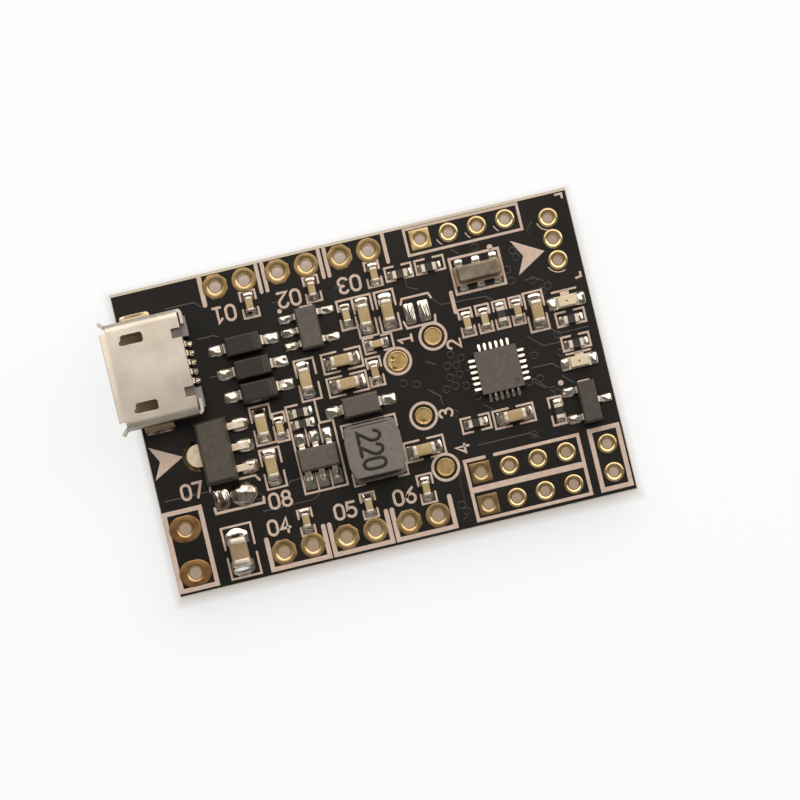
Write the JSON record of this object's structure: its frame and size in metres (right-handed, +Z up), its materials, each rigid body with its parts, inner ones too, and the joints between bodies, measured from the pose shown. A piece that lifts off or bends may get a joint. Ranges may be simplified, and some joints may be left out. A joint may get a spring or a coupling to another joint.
{
  "type": "flight controller board",
  "caption": "Small black circuit board that steers a brushed-motor drone, with a USB port at one end, plated wire holes along its edges, a motion sensor and power parts.",
  "frame": {"origin": "on the outer face of the processor under the board, below the middle of the board", "axes": "+X along the board away from the USB port, the way it flies, +Z up out of the face with the port"},
  "size_m": [0.0335, 0.0214, 0.0059],
  "materials": {
    "solder_mask": "satin",
    "gold_lands": "polished",
    "solder": "polished",
    "nickel_shell": "satin",
    "port_plastic": "matte",
    "port_contacts": "polished",
    "package_grey": "matte",
    "package_black": "matte",
    "tinned_leads": "satin",
    "ferrite": "matte",
    "magnet_wire": "polished",
    "resin": "matte",
    "resonator_ceramic": "matte",
    "lid_metal": "satin",
    "lamp_board": "matte",
    "lamp_lens": "gloss",
    "capacitor_ceramic": "matte",
    "chip_ends": "satin",
    "alumina": "matte",
    "resistor_glass": "gloss"
  },
  "bodies": {
    "root": {"circuit_board": "solder_mask", "battery_eyelets": "gold_lands", "motor_eyelets": "gold_lands", "four_pin_eyelets": "gold_lands", "three_pin_eyelets": "gold_lands", "eight_pin_eyelets": "gold_lands", "two_pin_eyelets": "gold_lands", "test_lands": "gold_lands", "jumper_lands": "solder", "usb_shell": "nickel_shell", "usb_insulator": "port_plastic", "usb_contacts": "port_contacts", "regulator_body": "package_grey", "regulator_leads": "tinned_leads", "low_dropout_body": "package_grey", "low_dropout_leads": "tinned_leads", "boost_converter_body": "package_grey", "boost_converter_leads": "tinned_leads", "motion_sensor_body": "package_grey", "motion_sensor_terminals": "tinned_leads", "transistor_body": "package_black", "transistor_leads": "tinned_leads", "diode_bodies": "package_black", "diode_leads": "tinned_leads", "inductor_core": "ferrite", "inductor_winding": "magnet_wire", "inductor_resin": "resin", "inductor_terminals": "chip_ends", "resonator_body": "resonator_ceramic", "resonator_lid": "lid_metal", "resonator_terminals": "chip_ends", "lamp_substrates": "lamp_board", "lamp_lenses": "lamp_lens", "lamp_terminals": "chip_ends", "supply_capacitor_body": "capacitor_ceramic", "supply_capacitor_ends": "chip_ends", "medium_capacitor_bodies": "capacitor_ceramic", "medium_capacitor_ends": "chip_ends", "small_capacitor_bodies": "capacitor_ceramic", "small_capacitor_ends": "chip_ends", "resistor_substrates": "alumina", "resistor_coats": "resistor_glass", "resistor_ends": "chip_ends", "solder_joints": "solder", "solder_bridge": "solder", "processor_body": "package_grey", "processor_leads": "tinned_leads", "motor_switch_bodies": "package_black", "motor_switch_leads": "tinned_leads", "underside_joints": "solder"}
  },
  "joints": []
}
